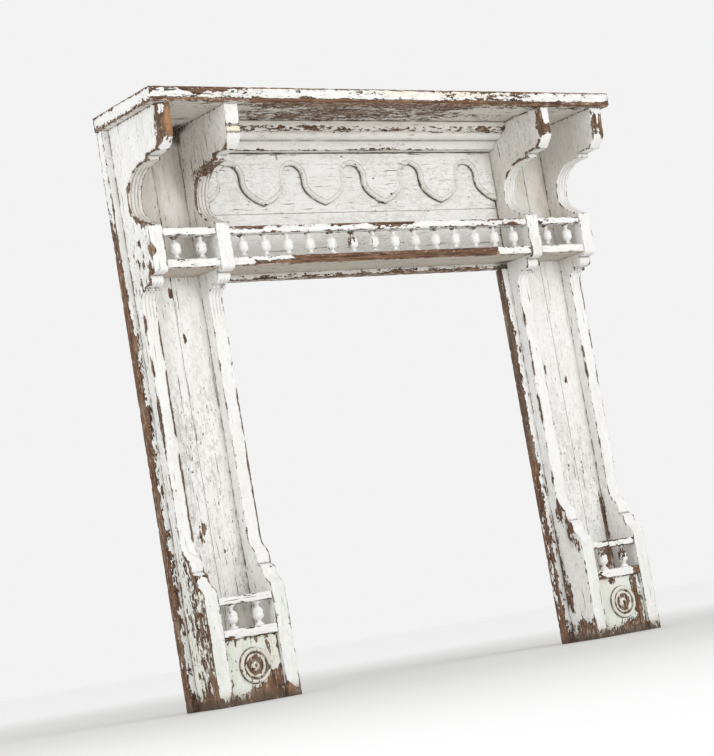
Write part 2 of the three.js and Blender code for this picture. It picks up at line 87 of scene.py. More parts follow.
# Wear of edges and joints
ARRIS_FADE = 20
UNEVEN = 0.18
BITE_REACH, BITE_DEPTH = 6, 2.0
JOINT_REACH, JOINT_FLUSH = 5, 1.2


# Outlines and meshes, all in millimetres until the mesh is made

def solid_points(name):
    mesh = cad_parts[name].data
    points = np.zeros(len(mesh.vertices) * 3)
    mesh.vertices.foreach_get("co", points)
    return points.reshape(-1, 3) / MM


def end_outline(name, axis, high):
    """Ordered outline of a solid's flat end along an axis, anticlockwise in the other two axes."""
    points = solid_points(name)
    keys = [tuple(key) for key in np.round(points, 2)]
    level = points[:, axis].max() if high else points[:, axis].min()
    edges = set()
    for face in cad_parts[name].data.polygons:
        corners = [keys[v] for v in face.vertices]
        if all(abs(corner[axis] - level) < 0.05 for corner in corners):
            for pair in zip(corners, corners[1:] + corners[:1]):
                if pair[::-1] in edges:
                    edges.remove(pair[::-1])
                else:
                    edges.add(pair)
    following = dict(edges)
    start = min(following)
    loop = [start]
    while following[loop[-1]] != start:
        loop.append(following[loop[-1]])
    across = [a for a in range(3) if a != axis]
    outline = np.array([[point[across[0]], point[across[1]]] for point in loop])
    turned = np.roll(outline, -1, 0)
    area = (outline[:, 0] * turned[:, 1] - outline[:, 1] * turned[:, 0]).sum()
    if area < 0:
        outline = outline[::-1]
    return outline[np.abs(turns(outline)) > STRAIGHT_TURN]


def turns(outline):
    """Turning angle at each point of a closed outline, positive at a convex corner."""
    before = outline - np.roll(outline, 1, 0)
    after = np.roll(outline, -1, 0) - outline
    cross = before[:, 0] * after[:, 1] - before[:, 1] * after[:, 0]
    return np.arctan2(cross, (before * after).sum(1))


def curve_weights(t):
    """Weights of a cubic curve's start, its slope there and its slope at the end."""
    return 2 * t ** 3 - 3 * t ** 2 + 1, t ** 3 - 2 * t ** 2 + t, t ** 3 - t ** 2


def fine_outline(outline, cell):
    """Rounds the facets of curves and the corners, and splits long runs."""
    count = len(outline)
    angle = turns(outline)
    step = np.roll(outline, -1, 0) - outline
    length = np.linalg.norm(step, axis=1)
    heading = step / length[:, None]
    short = (length < CURVE_REACH) & (np.roll(length, 1) < CURVE_REACH)
    smooth = (np.abs(angle) < CORNER_TURN) & short
    made = []
    for i in range(count):
        j = (i + 1) % count
        start, end = outline[i], outline[j]
        if not smooth[i]:
            back = min(CORNER_SIZE, CORNER_SHARE * length[i - 1])
            ahead = min(CORNER_SIZE, CORNER_SHARE * length[i])
            low = start - back * heading[i - 1]
            high = start + ahead * heading[i]
            made += [low, 0.25 * low + 0.5 * start + 0.25 * high, high]
            start = high
        else:
            made.append(start)
        if not smooth[j]:
            end = end - min(CORNER_SIZE, CORNER_SHARE * length[i]) * heading[i]
        run = np.linalg.norm(end - start)
        curved = smooth[i] or smooth[j]
        pieces = max(3 if curved else 1, math.ceil(run / cell))
        lead = heading[i]
        leave = (heading[i - 1] + lead) / 2 if smooth[i] else lead
        arrive = (lead + heading[j]) / 2 if smooth[j] else lead
        for k in range(1, pieces):
            t = k / pieces
            if curved:
                a, b, c = curve_weights(t)
                made.append(a * start + (1 - a) * end + run * (b * leave + c * arrive))
            else:
                made.append(start + t * (end - start))
    corners = np.abs(angle) >= CORNER_TURN
    convex = outline[corners & (angle > 0)]
    hollow = outline[corners & (angle < 0)]
    return np.array(made), convex, hollow


def grid_cap(outline, cell):
    """Cuts a closed outline into a grid. Gives its points, its faces and its ordered rim."""
    cap = bmesh.new()
    cap.faces.new([cap.verts.new((a, b, 0)) for a, b in outline])
    low, high = outline.min(0), outline.max(0)
    for axis in (1, 0):
        count = int((high[axis] - low[axis]) / cell)
        for k in range(1, count + 1):
            place, across = [0.0] * 3, [0.0] * 3
            place[axis] = low[axis] + (high[axis] - low[axis]) * k / (count + 1)
            across[axis] = 1.0
            parts = cap.verts[:] + cap.edges[:] + cap.faces[:]
            bmesh.ops.bisect_plane(cap, geom=parts, dist=0.01, plane_co=place, plane_no=across)
    many = [face for face in cap.faces if len(face.verts) > 4]
    bmesh.ops.triangulate(cap, faces=many)
    cap.verts.index_update()
    points = np.array([vert.co[:2] for vert in cap.verts])
    faces = [[vert.index for vert in face.verts] for face in cap.faces]
    following = {}
    for face in cap.faces:
        for loop in face.loops:
            if loop.edge.is_boundary:
                following[loop.vert.index] = loop.link_loop_next.vert.index
    cap.free()
    rim = [min(following)]
    while following[rim[-1]] != rim[0]:
        rim.append(following[rim[-1]])
    area = sum(
        points[a][0] * points[b][1] - points[a][1] * points[b][0]
        for a, b in zip(rim, rim[1:] + rim[:1])
    )
    return points, faces, rim if area > 0 else rim[::-1]


def nearest(points, targets, at_once=200):
    """Distance from each point to the nearest target, and which target it is."""
    which = np.zeros(len(points), int)
    if not len(targets):
        return np.full(len(points), FAR), which
    best = np.full(len(points), np.inf)
    for start in range(0, len(targets), at_once):
        block = targets[start:start + at_once]
        apart = np.linalg.norm(points[:, None, :] - block[None, :, :], axis=2)
        low = apart.min(1)
        nearer = low < best
        which[nearer] = apart.argmin(1)[nearer] + start
        best = np.minimum(best, low)
    return best, which


def edge_steps(low, high, spacing):
    """Places of the rings from one end of a piece to the other, with how far each is drawn in."""
    inner = np.linspace(low + RIM_BEVEL, high - RIM_BEVEL, max(2, round((high - low) / spacing)))
    drawn = RIM_STEP * RIM_BEVEL
    return [(low + drawn, drawn)] + [(place, 0.0) for place in inner] + [(high - drawn, drawn)]


def prism(name, axis=0, cell=7.0, ring=None, shape=None, cap_shape=None, ring_shape=None):
    """A fine copy of a solid that has one outline along an axis.

    Returns points, faces, and the distances to the nearest outer edge and the nearest inner corner."""
    points = solid_points(name)
    low, high = points.min(0), points.max(0)
    outline, convex, hollow = fine_outline(end_outline(name, axis, axis == 1), cell)
    flat, faces, rim = grid_cap(outline, cell)
    border = flat[rim]
    along = np.roll(border, -1, 0) - np.roll(border, 1, 0)
    outward = np.stack([along[:, 1], -along[:, 0]], 1)
    outward /= np.linalg.norm(outward, axis=1)[:, None]
    apart, which = nearest(flat, border)
    hold = np.clip(1 - apart / (3 * RIM_BEVEL), 0, 1)
    drawn = flat - outward[which] * (RIM_BEVEL * hold)[:, None]
    rings = edge_steps(low[axis], high[axis], ring or cell)
    corner_apart, _ = nearest(border, convex)
    inner_apart, _ = nearest(border, hollow)
    flat_inner, _ = nearest(flat, hollow)

    def place(pairs, level):
        return np.insert(pairs, axis, level, axis=1)

    count, wide = len(flat), len(rim)
    low_cap, high_cap = place(drawn, low[axis]), place(drawn, high[axis])
    if cap_shape:
        low_cap = cap_shape(low_cap, apart)
    stack = [low_cap, high_cap]
    edge = [apart, apart]
    inner = [flat_inner, flat_inner]
    for level, inset in rings:
        loop = border - outward * inset
        sunk = np.zeros(wide)
        if shape:
            shaped = shape(loop, outward, level)
            sunk = np.linalg.norm(shaped - loop, axis=1)
            loop = shaped
        full = place(loop, level)
        if ring_shape:
            full = ring_shape(full)
        stack.append(full)
        near_end = min(level - low[axis], high[axis] - level)
        edge.append(np.minimum(corner_apart, near_end))
        inner.append(np.where(sunk > SUNK, np.minimum(inner_apart, GROOVE_FOOT - sunk), inner_apart))
    made = [list(face) for face in faces] + [[v + count for v in face] for face in faces]
    first = list(rim)
    for k in range(len(rings) + 1):
        if k < len(rings):
            second = [2 * count + k * wide + i for i in range(wide)]
        else:
            second = [v + count for v in rim]
        for i in range(wide):
            j = (i + 1) % wide
            made.append([first[i], first[j], second[j], second[i]])
        first = second
    return np.vstack(stack), made, np.concatenate(edge), np.concatenate(inner)


def lathe(profile, centre, sides, axis):
    """Turns a profile of radius and height about Z or about -Y."""
    points, faces = [], []
    for radius, height in profile:
        for k in range(sides):
            angle = 2 * math.pi * k / sides
            a, b = radius * math.cos(angle), radius * math.sin(angle)
            if axis == 2:
                points.append((centre[0] + a, centre[1] + b, height))
            else:
                points.append((centre[0] + a, height, centre[2] + b))
    for i in range(len(profile) - 1):
        for k in range(sides):
            j = (k + 1) % sides
            faces.append([i * sides + k, i * sides + j, (i + 1) * sides + j, (i + 1) * sides + k])
    faces.append(list(range(sides)))
    faces.append(list(range((len(profile) - 1) * sides, len(profile) * sides)))
    return np.array(points), faces


def rounded_profile(pairs, pieces):
    """A smooth line through the turned profile's steps, kept tight so that each bead stays crisp."""
    pairs = np.array(pairs, float)
    slope = np.zeros_like(pairs)
    slope[1:-1] = 0.5 * (pairs[2:] - pairs[:-2]) * 0.85
    made = []
    for i in range(len(pairs) - 1):
        for k in range(pieces):
            t = k / pieces
            a, b, c = curve_weights(t)
            made.append(a * pairs[i] + (1 - a) * pairs[i + 1] + b * slope[i] + c * slope[i + 1])
    made.append(pairs[-1])
    return made


# Wear and painted shade: how bare, greyed, coloured or soiled each place is, and where shade is painted
# into corners, creases, recesses and undersides

CHANNELS = ("bare", "dingy", "mint", "rim", "grime", "warm", "crack", "cream")
BACK_WEAR = {"bare": 1.0, "crack": 0.5}


def stretched(grain, along, others=1.0):
    """Three factors, of which one is for the direction of the grain."""
    scale = [others] * 3
    scale[grain] = along
    return tuple(scale)


def noise_at(points, size, stretch=(1, 1, 1), seed=0):
    """Smooth noise from -1 to 1 at each point, with features about size millimetres across."""
    scaled = points / (size * np.array(stretch, float)) + seed * 17.3
    return np.array([noise.noise(Vector(p)) for p in scaled])


def blob(points, centre, radii):
    """1 near the centre, falling to 0 at the reach."""
    apart = np.sqrt((((points - np.array(centre, float)) / np.array(radii, float)) ** 2).sum(1))
    return np.clip(1.6 - 1.6 * apart, 0, 1)


def ramp(value, low, high):
    """0 up to low, rising to 1 at high."""
    share = np.clip((value - low) / (high - low), 0, 1)
    return share * share * (3 - 2 * share)


def fade(value, low, high):
    """1 up to low, falling to 0 at high."""
    return ramp(-value, -high, -low)


# Spots seen on single pieces: what each changes, how much, its centre and its reach in millimetres
SPOTS = {
    "mantel_shelf": [
        ("cream", 0.8, (120, -141, 1484), (330, 20, 14)),
        ("bare", 0.22, (330, -141, 1477), (110, 20, 9)),
        # Painted shade in the top corner of the left bay, under the shelf
        ("grime", 0.9, (-578, 13, 1457), (26, 8, 6)),
        ("bare", -0.14, (560, -141, 1480), (190, 20, 22)),
        ("bare", 0.20, (-610, -141, 1484), (120, 20, 4)),
        # Painted shade in the top corner of the left bay, under the shelf
        ("grime", 1.0, (-545, 90, 1457), (20, 50, 6)),
    ],
    "bracket_outer_left": [
        ("warm", 1.0, (-697, -122, 1415), (14, 30, 60)),
        ("bare", 0.9, (-697, -122, 1415), (22, 30, 75)),
        ("bare", 0.55, (-722, -120, 1400), (16, 30, 70)),
        ("bare", 0.85, (-728, -2, 1122), (20, 16, 20)),
        ("bare", 0.6, (-728, 12, 1058), (14, 14, 40)),
        ("mint", 0.6, (-728, -60, 1425), (20, 60, 60)),
        ("bare", 0.75, (-716, 14, 1222), (24, 48, 52)),
        ("bare", 0.60, (-728, 66, 1291), (10, 9, 14)),
        ("grime", 0.5, (-722, -120, 1400), (12, 30, 64)),
        # Takes back the painted crease shade along the step of the nose
        ("grime", -0.9, (-702, -122, 1400), (34, 30, 60)),
        ("bare", 0.75, (-728, 49, 1149), (8, 7, 15)),
        ("bare", 0.70, (-728, 64, 1099), (8, 6, 17)),
        ("bare", 0.70, (-728, 45, 1095), (8, 6, 15)),
        ("bare", 0.60, (-728, 66, 1053), (8, 6, 13)),
        ("bare", 0.60, (-728, 48, 1212), (8, 6, 22)),
        ("bare", 0.35, (-712, -30, 1205), (30, 50, 30)),
    ],
    # Painted shade at the foot of the wavy edge
    "scalloped_frieze": [("grime", 1.0, (-240, 101, 1383), (4, 12, 13))],
    "bracket_inner_left": [
        ("cream", 0.9, (-512, -122, 1394), (30, 30, 12)),
        ("bare", 0.62, (-512, 22, 1332), (40, 85, 34)),
        # Painted shade where the bracket meets the shelf and the board in the top corner of the bay
        ("grime", 1.0, (-532, 86, 1452), (8, 44, 14)),
        ("grime", 1.0, (-532, 104, 1436), (8, 16, 36)),
        ("bare", 0.75, (-524, 13, 12), (18, 30, 26)),
        ("warm", 0.8, (-512, 14, 12), (30, 30, 26)),
        ("bare", 0.5, (-512, -70, 1300), (30, 60, 40)),
    ],
    "bracket_inner_right": [
        ("bare", 0.75, (500, -122, 1418), (16, 30, 60)),
        ("bare", 0.75, (512, -118, 1398), (30, 30, 18)),
        ("bare", 0.62, (492, 80, 352), (8, 22, 46)),
        ("bare", 0.62, (492, 50, 305), (8, 24, 46)),
        ("bare", 0.55, (492, 30, 262), (8, 14, 30)),
        ("bare", 0.50, (492, 112, 250), (8, 16, 90)),
        ("bare", 0.55, (492, 96, 130), (8, 22, 70)),
        ("bare", 0.45, (492, 60, 40), (8, 60, 34)),
        ("bare", 0.50, (492, 54, 146), (8, 9, 9)),
        ("bare", 0.45, (492, 104, 200), (8, 14, 44)),
        ("grime", 0.5, (492, 48, 296), (8, 26, 50)),
        ("grime", 0.45, (492, 106, 190), (8, 16, 110)),
    ],
    "bracket_outer_right": [
        ("bare", 0.75, (700, -122, 1418), (12, 30, 40)),
        ("bare", 0.75, (722, -118, 1405), (12, 30, 50)),
    ],
    "gallery_rail_centre": [
        ("bare", 0.6, (-436, -1, 1172), (70, 30, 10)),
        ("bare", 0.65, (30, -1, 1170), (90, 30, 12)),
        ("bare", 0.5, (-130, -1, 1174), (60, 30, 7)),
    ],
    "gallery_baluster_07": [("bare", 0.4, (-172, 16, 1128), (20, 20, 40))],
    "gallery_baluster_08": [("bare", 0.5, (-103, 16, 1128), (20, 20, 40))],
    "gallery_baluster_09": [("bare", 0.5, (-34, 16, 1128), (20, 20, 40))],
    "gallery_baluster_12": [("bare", 0.3, (172, 16, 1128), (20, 20, 40))],
    "gallery_baluster_01": [("bare", 0.4, (-647, 16, 1152), (20, 20, 20))],
    "gallery_baluster_03": [("bare", 0.4, (-448, 16, 1152), (20, 20, 20))],
    "base_baluster_right_01": [("bare", 0.35, (572, 26, 230), (20, 20, 30))],
    "base_baluster_right_02": [("bare", 0.6, (647, 26, 222), (24, 24, 40))],
    "leg_board_outer_right": [
        ("bare", 0.95, (685, 113, 320), (8, 20, 95)),
        ("bare", 0.8, (660, 113, 215), (40, 20, 45)),
        # Painted shade in the niche behind the balusters
        ("grime", 0.5, (650, 113, 232), (60, 20, 24)),
        ("bare", 0.9, (635, 113, 728), (7, 12, 16)),
    ],
    "leg_board_inner_right": [
        ("bare", 0.6, (600, 113, 205), (60, 20, 40)),
        # Painted shade in the niche behind the balusters
        ("grime", 0.5, (600, 113, 232), (80, 20, 24)),
        ("bare", 0.9, (564, 113, 762), (7, 12, 22)),
    ],
    "leg_board_inner_left": [
        # Painted shade in the niche behind the balusters
        ("grime", 0.4, (-570, 113, 236), (60, 20, 18)),
        ("bare", 0.9, (-600, 113, 918), (7, 12, 22)),
        ("bare", 0.8, (-581, 113, 378), (8, 12, 10)),
        # Painted shade in the top corner of the left bay
        ("grime", 1.0, (-537, 113, 1444), (22, 12, 32)),
    ],
    "leg_board_outer_left": [
        # Painted shade in the niche behind the balusters
        ("grime", 0.4, (-650, 113, 236), (60, 20, 18)),
        ("bare", 0.75, (-632, 113, 441), (14, 12, 22)),
        ("bare", 0.75, (-644, 113, 418), (12, 12, 22)),
        ("bare", 0.35, (-690, 113, 1020), (10, 12, 50)),
        ("bare", 0.85, (-621, 113, 1033), (9, 12, 22)),
    ],
    # Painted shade where the header meets the right leg
    "frieze_board_lower": [("grime", 1.0, (478, 113, 1062), (40, 14, 14))],
    # Painted shade at the right end, where the shelf meets the header and the leg
    "gallery_shelf_centre": [("grime", 0.9, (482, 96, 1073), (50, 34, 8))],
    "base_panel_right": [
        ("bare", 0.85, (664, 19, 100), (22, 20, 90)),
        ("bare", 0.50, (585, 19, 148), (24, 20, 14)),
        ("bare", 0.34, (640, 19, 30), (80, 20, 26)),
    ],
    "base_panel_left": [
        ("bare", 0.62, (-556, 19, 46), (42, 20, 50)),
        ("bare", 0.60, (-563, 19, 134), (11, 20, 34)),
        ("bare", 0.50, (-597, 19, 152), (11, 20, 16)),
        ("bare", 0.45, (-600, 19, 20), (64, 20, 30)),
        ("bare", -0.25, (-664, 19, 26), (30, 20, 44)),
        ("cream", 0.6, (-544, 19, 118), (14, 20, 40)),
    ],
    "base_ledge_left": [("bare", 0.7, (-676, 10, 162), (22, 20, 8))],
    "base_ledge_right": [
        ("bare", 0.8, (680, 12, 172), (24, 30, 26)),
        ("bare", 0.6, (545, 12, 166), (24, 30, 22)),
    ],
}

# Long edges chipped in dashes: bracket, which side of it, lowest and highest place, how bare
CHIPPED_ARRISES = [
    ("bracket_outer_left", -1, 640, 985, 0.60),
    ("bracket_outer_left", 1, 400, 960, 1.0),
    ("bracket_outer_left", -1, 1180, 1440, 0.50),
    ("bracket_outer_left", 1, 1180, 1260, 0.50),
    ("bracket_inner_left", 1, 300, 860, 0.66),
    ("bracket_inner_left", -1, 1230, 1440, 0.66),
    ("bracket_inner_right", -1, 600, 930, 0.55),
    ("bracket_inner_right", -1, 1290, 1440, 0.55),
    ("bracket_outer_right", -1, 720, 830, 0.66),
    ("bracket_outer_right", 1, 690, 1060, 0.66),
]


def straight_border(points):
    """Distance to the nearer of the scalloped board's straight borders."""
    return np.minimum(SCALLOP_END - np.abs(points[:, 0]), SCALLOP_TOP - points[:, 2])


class Surface:
    """The points of a piece, and which way each of them faces."""

    def __init__(self, name, p, n, edge):
        self.name, self.p, self.edge = name, p, edge
        self.x, self.y, self.z = p.T
        self.nx, self.ny, self.nz = n.T
        self.front, self.under, self.top = self.ny < -FACING, self.nz < -FACING, self.nz > FACING
        self.left, self.sideways = self.nx < -FACING, np.abs(self.nx) > FACING
        self.back = (self.ny > FACING) & (self.y > BACK_Y - BACK_SLACK)
        self.depth = BACK_Y - self.y
        self.on_left = self.x.mean() < 0


def shelf_wear_and_shade(w, s):
    x, z = s.x, s.z
    band = ramp(x, -480, -380)
    low_edge = (0.25 + 0.55 * band * (1 - 0.5 * ramp(x, 450, 600))) * fade(z, 1461, 1470)
    w["bare"] += s.front * (0.27 + 0.08 * fade(x, -560, -480) + 0.5 * ramp(z, 1490, 1494) + low_edge)
    w["dingy"] += s.front * 0.10
    streaky = 0.16 * noise_at(s.p, 14, (3, 1, 1), 4)
    brown = band * fade(x, 190, 330)
    w["bare"] += s.under * (0.20 + brown * (0.30 + streaky) + 0.30 * band * ramp(s.depth, 225, 262))
    # Painted shade on the underside, darker towards the back
    w["dingy"] += s.under * (0.30 + 0.25 * ramp(s.depth, 100, 200))
    w["crack"] += s.under * 0.4 + s.front * 0.2
    end_edges = 0.16 + 0.35 * fade(z, 1462, 1472) + 0.4 * ramp(z, 1486, 1493)
    w["bare"] += (s.top * 0.12) + s.left * end_edges
    w["dingy"] += s.top * 0.35


def frieze_board_wear_and_shade(w, s):
    # Greyer below 1130 mm, and painted shade on the undersides
    w["dingy"] += 0.22 * fade(s.z, 1130, 1160) + s.under * 0.35
    w["crack"] += 0.28
    w["bare"] += 0.30 * fade(s.z, 1070, 1082) + s.under * 0.2
    w["rim"] = np.where(np.abs(s.z - FRIEZE_JOINT) < 22, 0.3 * w["rim"], w["rim"])


def scalloped_frieze_wear_and_shade(w, s):
    w["crack"] += 0.36
    w["bare"] -= 0.02
    # Greyer towards the top, under the cornice, and at the ends beside the brackets: aged paint and
    # painted shade
    w["dingy"] += 0.22 * ramp(s.z, 1368, 1392) + 0.18 * ramp(np.abs(s.x), 455, 488)
    straight = straight_border(s.p)
    w["rim"] = np.where(straight <= s.edge + SCALLOP_SLACK, 0, w["rim"])
    # Painted shade in a line along the top, under the cornice
    w["grime"] += 0.8 * ramp(s.z, 1389.5, 1392.5)
    # Painted shadow along the foot of the wavy edge, strongest on the parts that face left and down,
    # away from the light
    foot = s.y > BOARD_FRONT - SCALLOP_LIP - 0.6
    turned = np.clip(-0.75 * s.nx - 0.75 * s.nz, 0, 1)
    w["grime"] += foot * (0.35 + 0.9 * turned)
    # Painted shade on the rounded lip, darker on the parts that face left and down
    lip = (s.edge < SCALLOP_ROUND) & (s.edge < straight - SCALLOP_SLACK)
    w["dingy"] += (0.13 + 0.30 * turned) * lip


def cornice_wear_and_shade(w, s):
    y, z = s.y, s.z
    # Greyed all over, more towards the top under the shelf: aged paint and painted shade
    w["dingy"] += 0.16 + 0.22 * ramp(z, 1420, 1440)
    chips = 0.50 + 0.34 * noise_at(s.p, 9, (1.8, 1, 1), 7)
    w["bare"] += chips * ramp(z, 1427, 1432) * fade(z, 1440, 1446) + 0.12 * fade(z, 1397, 1403)
    # Painted shade: the corner darkening is mostly taken back, then drawn as a line in the moulding's
    # step and along its top under the shelf
    w["grime"] *= 0.25
    w["grime"] += 0.8 * np.clip(1 - np.abs(z - CORNICE_STEP) / 1.1, 0, 1) + 0.9 * ramp(z, 1452, 1456)
    # Painted shade on the underside of the foot, in lines along its front and back
    w["grime"] += 0.8 * (z < CORNICE_FOOT) * np.maximum(fade(y, 79.5, 82), ramp(y, 98, 100.5))
    w["crack"] += 0.1


def gallery_shelf_wear_and_shade(w, s):
    # Painted shade on the undersides; the tops are greyed by dust
    w["dingy"] += s.under * 1.0 + s.top * 0.2
    w["bare"] += s.under * 0.12
    w["crack"] += s.under * 0.5
    if s.name.endswith("centre"):
        brown = ramp(s.x, -340, -290) * fade(s.x, 360, 380)
        lower = 0.6 * ramp(s.x, -440, -400) * fade(s.x, 360, 380) * (s.z < 1088)
        w["bare"] += s.front * (0.9 * brown + lower)


def wear_gallery_rail(w, s):
    w["bare"] += 0.05 + s.under * 0.1


def gallery_baluster_wear_and_shade(w, s):
    w["bare"] += 0.08 + 0.34 * ramp(s.z, 1145, 1154)
    # Painted shade where the balusters meet the rail above and the shelf below
    w["grime"] += 0.8 * ramp(s.z, 1149, 1156) + 0.45 * fade(s.z, 1100, 1104)


def bracket_wear_and_shade(w, s):
    z = s.z
    upper = ramp(z, 1120, 1200) * (1 - 0.65 * ramp(z, 1330, 1420)) * (1.0 if s.on_left else 0.7)
    lower = fade(z, 200, 520)
    side = s.sideways & ~s.front
    # Painted shade on the sides in the bay between the gallery and the shelf, over a little aged paint
    w["dingy"] += side * (0.04 + 0.38 * upper)
    w["crack"] += side * (0.2 + 0.3 * upper)
    w["bare"] += 0.16 * np.clip(1 - s.edge / 6, 0, 1)
    w["bare"] += 0.12 * lower * side
    w["mint"] += 0.5 * fade(z, 240, 330) * s.front
    w["bare"] -= 0.04 * s.front
    w["dingy"] += s.front * 0.04
    # The reeded hollows turn greyer: soiling and painted shade
    hollow = (np.abs(s.nx) < FACING) & (z > POST_TOP) & (z < HOLLOW_TOP + 10)
    w["dingy"] += hollow * (0.34 if s.on_left else 0.12)
    w["bare"] += hollow * (0.10 if s.on_left else 0.02)
    chip_arrises(w, s)
    if s.name == "bracket_inner_right":
        w["dingy"] += 0.12 * s.left * fade(z, 300, 600)
    if s.name == "bracket_outer_left":
        outer_side_wear_and_shade(w, s, upper)
    if s.name == "bracket_inner_left":
        w["crack"] += s.left * upper * 0.4


def chip_arrises(w, s):
    """Dashes of bare wood along the long edges that CHIPPED_ARRISES names."""
    for bracket, hand, lowest, highest, amount in CHIPPED_ARRISES:
        if bracket == s.name:
            arris = s.x.max() if hand > 0 else s.x.min()
            close = np.clip(1.25 - s.edge / 6.5, 0, 1) * (np.abs(s.x - arris) < 11) * (s.y < 100)
            dash = ramp(noise_at(s.p, 20, (1, 1, 3.5), 8) + 0.4 * (amount - 0.6), -0.25, 0.1)
            worn_off = amount * close * dash * ramp(s.z, lowest, lowest + ARRIS_FADE)
            worn_off = worn_off * fade(s.z, highest - ARRIS_FADE, highest)
            w["bare"] += worn_off
            w["grime"] += 0.8 * worn_off


def outer_side_wear_and_shade(w, s, upper):
    """The big left face: whiter above, chipped in a column and in streaks near the foot."""
    z, left = s.z, s.left
    # The open outer face takes back the painted shade of the bay
    w["dingy"] -= left * (0.04 + 0.38 * upper)
    w["crack"] -= left * 0.3 * upper
    w["bare"] += left * (0.04 + 0.17 * fade(z, 1180, 1260) - 0.12 * fade(z, 900, 1000))
    streaks = 0.5 + 0.5 * noise_at(s.p, 20, (1, 1, 5), 5)
    column = np.clip(1.5 - np.abs(s.y - 56 - 14 * noise_at(s.p, 70, (1, 1, 1), 9)) / 24, 0, 1)
    w["crack"] += left * 0.15 * ramp(z, 1000, 1040) * fade(z, 1180, 1220)
    low_part = 0.04 + 0.17 * column + 0.28 * streaks * fade(z, 150, 280)
    w["bare"] += left * (low_part * fade(z, 330, 400) + 0.04 * fade(z, 500, 800))
    w["mint"] += left * (0.25 * fade(z, 850, 1000) + 0.4 * fade(z, 250, 420))
    w["cream"] += left * 0.4 * fade(z, 250, 420)


def leg_board_wear_and_shade(w, s):
    z = s.z
    strip = (np.abs(s.x) > STRIP_OUTER) | (np.abs(s.x) < STRIP_INNER)
    recess = s.front & (s.depth < 40) & ~strip
    # Painted shade in the recess above the gallery, under the shelf
    w["dingy"] += recess * (0.03 + 0.55 * ramp(z, 1060, 1200))
    mottled = fade(z, 700, 900) if s.on_left else 0.5 * fade(z, 500, 700)
    w["crack"] += recess * (0.20 + 0.50 * mottled)
    w["bare"] += recess * (0.01 + 0.06 * mottled)
    # Painted shade in the niche behind the base balusters: greyer paint and browner wood
    niche = recess * ramp(z, 178, 184) * fade(z, 246, 262)
    w["dingy"] += 0.30 * niche
    w["warm"] += 0.4 * niche
    repainted = ramp(noise_at(s.p, 55, (1, 1, 1.8), 10), 0.02, 0.14)
    w["dingy"] -= 0.26 * recess * repainted * ramp(z, 1060, 1200)
    w["bare"] += s.sideways * (0.20 + 0.62 * fade(z, 1120, 1300))
    if s.name == "leg_board_inner_right":
        w["bare"] -= 0.22 * s.sideways * fade(z, 350, 500)
        w["grime"] += 0.45 * s.sideways * ramp(z, 450, 600)
    w["bare"] += s.front * strip * (0.10 + (0.35 if s.on_left else 0.22) * fade(z, 900, 1100))
    joint = np.abs(np.abs(s.x) - LEG_JOINT) < 20
    w["rim"] = np.where(joint, np.where(z < POST_FOOT, 0.1, 0.35) * w["rim"], w["rim"])


def wear_base_panel(w, s):
    w["bare"] += 0.14
    w["mint"] += 0.8
    w["dingy"] += 0.1


def rosette_wear_and_shade(w, s):
    middle = LEG_MIDDLE * np.sign(s.x.mean())
    out = np.hypot(s.x - middle, s.z - ROSETTE_HEIGHT) / ROSETTE_RADIUS
    turned = noise_at(s.p, 16, (1, 1, 1), 6)
    w["dingy"] += 0.3
    w["bare"] += 0.28 + 0.20 * turned + 0.62 * np.clip(1.4 - np.abs(out - 0.39) / 0.14, 0, 1)
    w["bare"] += 0.6 * fade(out, 0.08, 0.12)
    w["bare"] += (0.42 + 0.3 * turned) * np.clip(1.4 - np.abs(out - 0.69) / 0.05, 0, 1)
    # Dark rings round the rim, where the rosette meets the panel, and in a groove: soiling and painted
    # shade in the creases
    w["grime"] += 1.0 * ramp(out, 0.95, 0.98) + 0.9 * np.clip(1.2 - np.abs(out - 0.74) / 0.05, 0, 1)
    w["cream"] += 0.2
    w["mint"] += 0.3


def wear_base_baluster(w, s):
    w["bare"] += 0.12


def wear_base_ledge(w, s):
    w["bare"] += 0.05 + s.under * 0.2
    w["dingy"] += s.top * 0.2


def wear_base_rail(w, s):
    w["bare"] += 0.04 + s.under * 0.3


WEAR_AND_SHADE_BY_KIND = {
    "mantel_shelf": shelf_wear_and_shade,
    "frieze_board": frieze_board_wear_and_shade,
    "scalloped_frieze": scalloped_frieze_wear_and_shade,
    "cornice_moulding": cornice_wear_and_shade,
    "gallery_shelf": gallery_shelf_wear_and_shade,
    "gallery_rail": wear_gallery_rail,
    "gallery_baluster": gallery_baluster_wear_and_shade,
    "bracket": bracket_wear_and_shade,
    "leg_board": leg_board_wear_and_shade,
    "base_panel": wear_base_panel,
    "base_rosette": rosette_wear_and_shade,
    "base_baluster": wear_base_baluster,
    "base_ledge": wear_base_ledge,
    "base_rail": wear_base_rail,
}


def wear_and_shade_of(name, p, n, edge, inner):
    """Channel values for every point of a piece."""
    s = Surface(name, p, n, edge)
    w = {key: np.zeros(len(p)) for key in CHANNELS}
    w["rim"] = np.clip(1 - edge / RIM_FADE, 0, 1)
    # Painted shade: inner corners and creases darken within 5 mm of the corner.
    w["grime"] += 0.85 * np.clip(1 - inner / 5, 0, 1)
    w["bare"] += 0.04
    w["crack"] += 0.25
    for kind, add_wear_and_shade in WEAR_AND_SHADE_BY_KIND.items():
        if name.startswith(kind):
            add_wear_and_shade(w, s)
    w["grime"] += 0.85 * fade(s.z, 8, 30)
    w["bare"] += 0.26 * fade(s.z, 10, 60) + 0.30 * fade(s.z, 16, 30)
    w["dingy"] += 0.6 * fade(s.z, 15, 45)
    for key in CHANNELS:
        w[key] = np.where(s.back, BACK_WEAR.get(key, 0.0), w[key])
    for key, amount, centre, radii in SPOTS.get(name, ()):
        w[key] = w[key] + amount * blob(p, centre, radii)
    return {key: np.clip(value, 0, 1) for key, value in w.items()}


